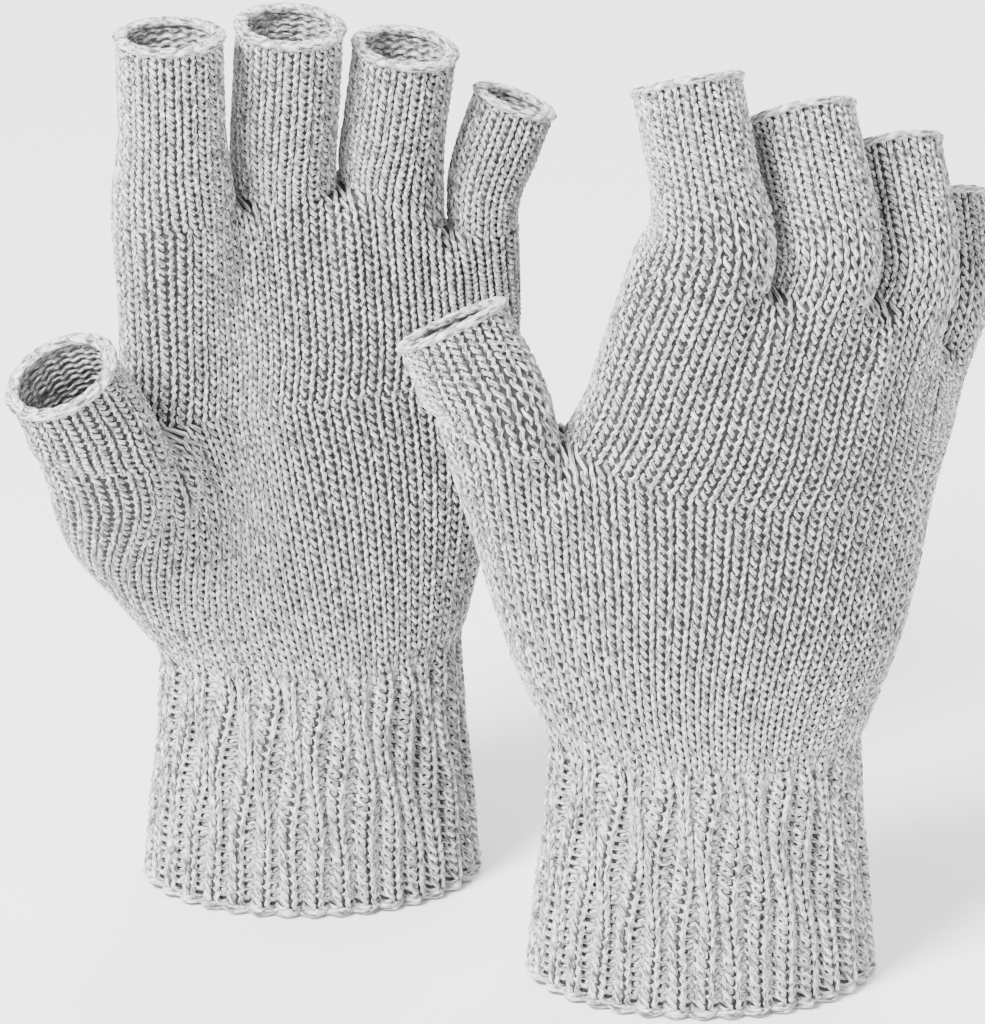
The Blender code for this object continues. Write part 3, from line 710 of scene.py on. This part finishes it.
def fluff_shade_material(name):
    """The fluff behind the loops: the same wool with a felted grain, darkened with painted shade for the
    shadow between the loops.
    """
    shader = Shader(name, 0.95, 0.1)
    place = shader.node("ShaderNodeTexCoord", {}, (), 3)
    mottle = shader.node("ShaderNodeTexNoise", {}, {"Vector": place, "Scale": 900.0, "Detail": 3.0})
    rows = shader.node("ShaderNodeUVMap", {"uv_map": "OFBake"})
    inner = shader.node("ShaderNodeSeparateXYZ", {}, [rows], 1).math("GREATER_THAN", 0.5)
    # Painted shade: nearly black on the sheet's outer face, where the shadow between the loops is seen.
    stops = [(0.35, (0.018, 0.018, 0.019)), (0.65, (0.060, 0.060, 0.062))]
    dark = shader.node("ShaderNodeValToRGB", {"stops": stops}, [mottle])
    # Painted shade on the inner face, seen inside the glove: a lighter grey.
    stops = [(0.35, (0.10, 0.10, 0.105)), (0.65, (0.30, 0.30, 0.31))]
    pale = shader.node("ShaderNodeValToRGB", {"stops": stops}, [mottle])
    mix = {"data_type": "RGBA"}
    shader.feed("Base Color", shader.node("ShaderNodeMix", mix, {0: inner, 6: dark, 7: pale}, 2))
    bump = shader.node("ShaderNodeBump", {}, {"Strength": 0.5, "Distance": 0.0003, "Height": mottle})
    shader.feed("Normal", bump)
    return shader.material


def elastic_material(name):
    """Covered elastic: pale thread wound round a flat core, as fine slanting turns."""
    shader = Shader(name, 0.7, 0.1)
    place = shader.node("ShaderNodeTexCoord", {}, (), 3)
    inputs = {"Vector": place, "Scale": 420.0, "Distortion": 0.6}
    wave = shader.node("ShaderNodeTexWave", {"bands_direction": "DIAGONAL"}, inputs)
    stops = [(0.2, (0.30, 0.30, 0.31)), (0.8, (0.62, 0.62, 0.63))]
    shader.feed("Base Color", shader.node("ShaderNodeValToRGB", {"stops": stops}, [wave]))
    bump = shader.node("ShaderNodeBump", {}, {"Strength": 0.6, "Distance": 0.0002, "Height": wave})
    shader.feed("Normal", bump)
    return shader.material


yarn = heather("heather_yarn_knit")
# The fluff sheets take a material of painted shade, dark for the shadow between the loops.
inside = fluff_shade_material("yarn_fluff_painted_shade")
covered = elastic_material("covered_elastic_thread")

# %% [markdown]
# Knitting the gloves. The cuff, the wrist and the hand are worked over 68 stitches, the four fingers' part
# of the palm over 54, and the tubes over 16 to 20. The wrist and the roots of the fingers are where a hand
# bends, so those zones join neither of the bodies on either side of them, and stay where they are built.

# %% Knitting
HAND_WALES, PALM_WALES = 68, 54
TUBE_WALES = {"thumb": 18, "index": 20, "middle": 20, "ring": 20, "little": 16}
RIB_STITCH, HAND_STITCH, PALM_STITCH, FINGER_STITCH = 0.00205, 0.00200, 0.00190, 0.00168
HALF_WALL = WALL / 2.0
RIB_INSET = HALF_WALL + 0.0006
WEB_FADE, CROTCH_FADE = 0.035, 0.036
HEM_COURSE, RIM_COURSE, TUBE_END = -0.62, 0.10, 0.0012


def finish_piece(ob, material, body, blend=None):
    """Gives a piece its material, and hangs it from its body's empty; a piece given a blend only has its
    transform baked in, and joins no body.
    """
    ob.data.materials.append(material)
    if blend:
        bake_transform(ob)
    else:
        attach(ob, body)
    return ob


def knit_zone(name, zone, body, seed, node, ribbed=False, blend=None):
    """One zone: its yarn, a little thicker here and thinner there, and the fluff inside it, coloured with
    painted shade.
    """
    points, outward = yarn_path(zone, seed, ribbed)
    random = np.random.default_rng(seed + 1000)
    half = SAMPLES // 2
    slub = np.repeat(random.normal(size=(points.shape[0], points.shape[1] // half)), half, axis=1)
    slub = (slub + np.roll(slub, 2, 1) + np.roll(slub, -2, 1)) / 3.0
    rib = rib_strength(zone, np.arange(zone.courses)[:, None] + 0.5) if ribbed else 0.0
    fullness = 1.0 + (RIB_FULLNESS - 1.0) * rib
    ob = yarn_mesh(name, points, outward, YARN_RADIUS * fullness * (1.0 + 0.05 * slub))
    finish_piece(ob, yarn, body, blend=blend)
    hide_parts(node)
    # The fluff sheet behind the loops, dark with painted shade for the shadow between them.
    back = fluff(name + "_fluff", zone, ribbed)
    finish_piece(back, inside, body, blend=blend)
    triangles = 2 * (len(ob.data.polygons) + len(back.data.polygons))
    print(name, zone.wales, "wales", zone.courses, "courses", triangles, "triangles")
    return triangles


def foot_and_tip(form, finger):
    """The middle of a tube's root at its foot and at its end."""
    phi = np.array([0.0, 0.5, 1.0, 1.5]) * math.pi
    return form.tube(finger, 0.0, phi).mean(0), form.tube(finger, root_length(finger), phi).mean(0)


def knit_glove(form, seed):
    """Every zone of one glove, from the cast-on edge up."""
    side = form.pose["name"]
    hand, cuff = side + "_hand", side + "_cuff"
    zone = zone_of_sections(form, STATIONS, HEM_HEIGHT, CUFF_TOP, HAND_WALES, RIB_INSET, RIB_STITCH)
    count = knit_zone(side + "_cuff_knit", zone, cuff, seed, side + "_cuff_rib", ribbed=True)
    hem = chain(side + "_cuff_edge", zone, HEM_COURSE, HAND_WALES, half_width=0.00075, lift=0.0, sink=0.0004,
                ribbed=True)
    finish_piece(hem, yarn, cuff)
    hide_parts(side + "_cuff_hem")

    zone = zone_of_sections(form, STATIONS, CUFF_TOP, BAND_TOP, HAND_WALES, HALF_WALL, HAND_STITCH)
    blend = (cuff, hand, form.at(0.0, 0.0, CUFF_TOP), form.at(0.0, 0.0, BAND_TOP))
    count += knit_zone(side + "_wrist_knit", zone, hand, seed + 1, side + "_wrist_band", blend=blend)

    lobes = [(THUMB_DEPTH, 2.0), STATIONS[-1][3:]]
    web = crotches_of(lobes, (WEB,), THUMB_ROOT_Z, WEB_DEPTH, WEB_FADE)
    zone = zone_of_sections(form, STATIONS, BAND_TOP, THUMB_ROOT_Z, HAND_WALES, HALF_WALL, HAND_STITCH, web)
    count += knit_zone(side + "_lower_palm_knit", zone, hand, seed + 2, side + "_lower_palm")

    lobes = [(tube_foot(finger)[2], 2.0) for finger in FINGERS]
    knuckles = crotches_of(lobes, CROTCHES, FINGER_ROOT_Z, CROTCH_DEPTH, CROTCH_FADE)
    zone = zone_of_sections(form, UPPER_STATIONS, THUMB_ROOT_Z, FINGER_ROOT_Z, PALM_WALES, HALF_WALL,
                            PALM_STITCH, knuckles, dropped=True)
    count += knit_zone(side + "_upper_palm_knit", zone, hand, seed + 3, side + "_upper_palm")

    for k, finger in enumerate(TUBES):
        stem = f"{side}_{finger}"
        wales = TUBE_WALES[finger]
        root, length = root_length(finger), tube_rim(finger)[1]
        foot, _, _, z0 = tube_foot(finger)
        stations, below = (STATIONS, HAND_WALES) if finger == "thumb" else (UPPER_STATIONS, PALM_WALES)
        meets = wales_at(stations, z0, HALF_WALL, below, foot)
        zone = zone_of_tube(form, finger, 0.0, root, wales, FINGER_STITCH, meets)
        blend = (hand, stem, *foot_and_tip(form, finger))
        count += knit_zone(stem + "_root_knit", zone, stem, seed + 10 + k, stem + "_root", blend=blend)
        zone = zone_of_tube(form, finger, root, length - TUBE_END, wales, FINGER_STITCH, meets)
        count += knit_zone(stem + "_knit", zone, stem, seed + 20 + k, stem + "_tube")
        rim = chain(stem + "_edge", zone, zone.courses + RIM_COURSE, wales, half_width=0.00115, lift=-0.0001,
                    sink=0.0005)
        finish_piece(rim, yarn, stem)
        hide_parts(stem + "_rim")
    return count


total = 0
for k, form in enumerate(forms.values()):
    total += knit_glove(form, 100 * (k + 1))
    for number in (1, 2):
        elastic = nodes[f"{form.pose['name']}_cuff_elastic_{number}"]
        elastic.data.materials.clear()
        elastic.data.materials.append(covered)
print("triangles of yarn and fluff", total)

# %% [markdown]
# The table, the light and the view. Pale knitting needs light from the side, so that every leg throws a
# little shade on the next, with enough fill that the greys stay light. A long lens from a little above keeps
# the gloves upright in the picture.

# %% Floor, lights and camera


def plane(name, size, z):
    """A square floor."""
    half = size / 2.0
    corners = [(-half, -half, z), (half, -half, z), (half, half, z), (-half, half, z)]
    mesh = bpy.data.meshes.new(name)
    mesh.from_pydata(corners, [], [(0, 1, 2, 3)])
    ob = bpy.data.objects.new(name, mesh)
    bpy.context.collection.objects.link(ob)
    return ob


def softbox(name, place, target, size, power):
    """A square area light that faces a point."""
    light = bpy.data.lights.new(name, "AREA")
    light.size, light.energy = size, power
    ob = bpy.data.objects.new(name, light)
    bpy.context.collection.objects.link(ob)
    ob.location = place
    x, y, z = np.array(target) - np.array(place)
    ob.rotation_euler = (math.atan2(math.hypot(x, y), -z), 0.0, math.atan2(-x, y))
    return ob


floor = plane("floor", 12.0, -0.0002)
paper = bpy.data.materials.new("white_paper")
paper.use_nodes = True
surface = paper.node_tree.nodes["Principled BSDF"]
surface.inputs["Base Color"].default_value = (0.93, 0.93, 0.93, 1.0)
surface.inputs["Roughness"].default_value = 0.9
floor.data.materials.append(paper)

GLOVES = (0.0, 0.0, 0.1)
softbox("key", (-0.9, -1.0, 1.3), GLOVES, size=0.6, power=125.0)
softbox("fill", (1.3, -1.1, 0.6), GLOVES, size=1.2, power=14.0)
softbox("back", (0.3, 1.4, 1.6), GLOVES, size=1.4, power=52.0)
world = bpy.data.worlds.new("studio")
world.use_nodes = True
backdrop = world.node_tree.nodes["Background"]
backdrop.inputs["Color"].default_value = (1.0, 1.0, 1.0, 1.0)
backdrop.inputs["Strength"].default_value = 1.15
bpy.context.scene.world = world

TARGET = np.array([-0.0023, 0.0026, 0.0975])
ELEVATION, DISTANCE, FRAME_HEIGHT, SENSOR = math.radians(20.6), 1.30, 0.2238, 36.0
camera = bpy.data.objects.new("camera", bpy.data.cameras.new("camera"))
bpy.context.collection.objects.link(camera)
camera.location = TARGET + DISTANCE * np.array([0.0, -math.cos(ELEVATION), math.sin(ELEVATION)])
camera.rotation_euler = (math.pi / 2.0 - ELEVATION, 0.0, 0.0)
camera.data.sensor_width = SENSOR
camera.data.lens = SENSOR * DISTANCE / FRAME_HEIGHT
bpy.context.scene.camera = camera
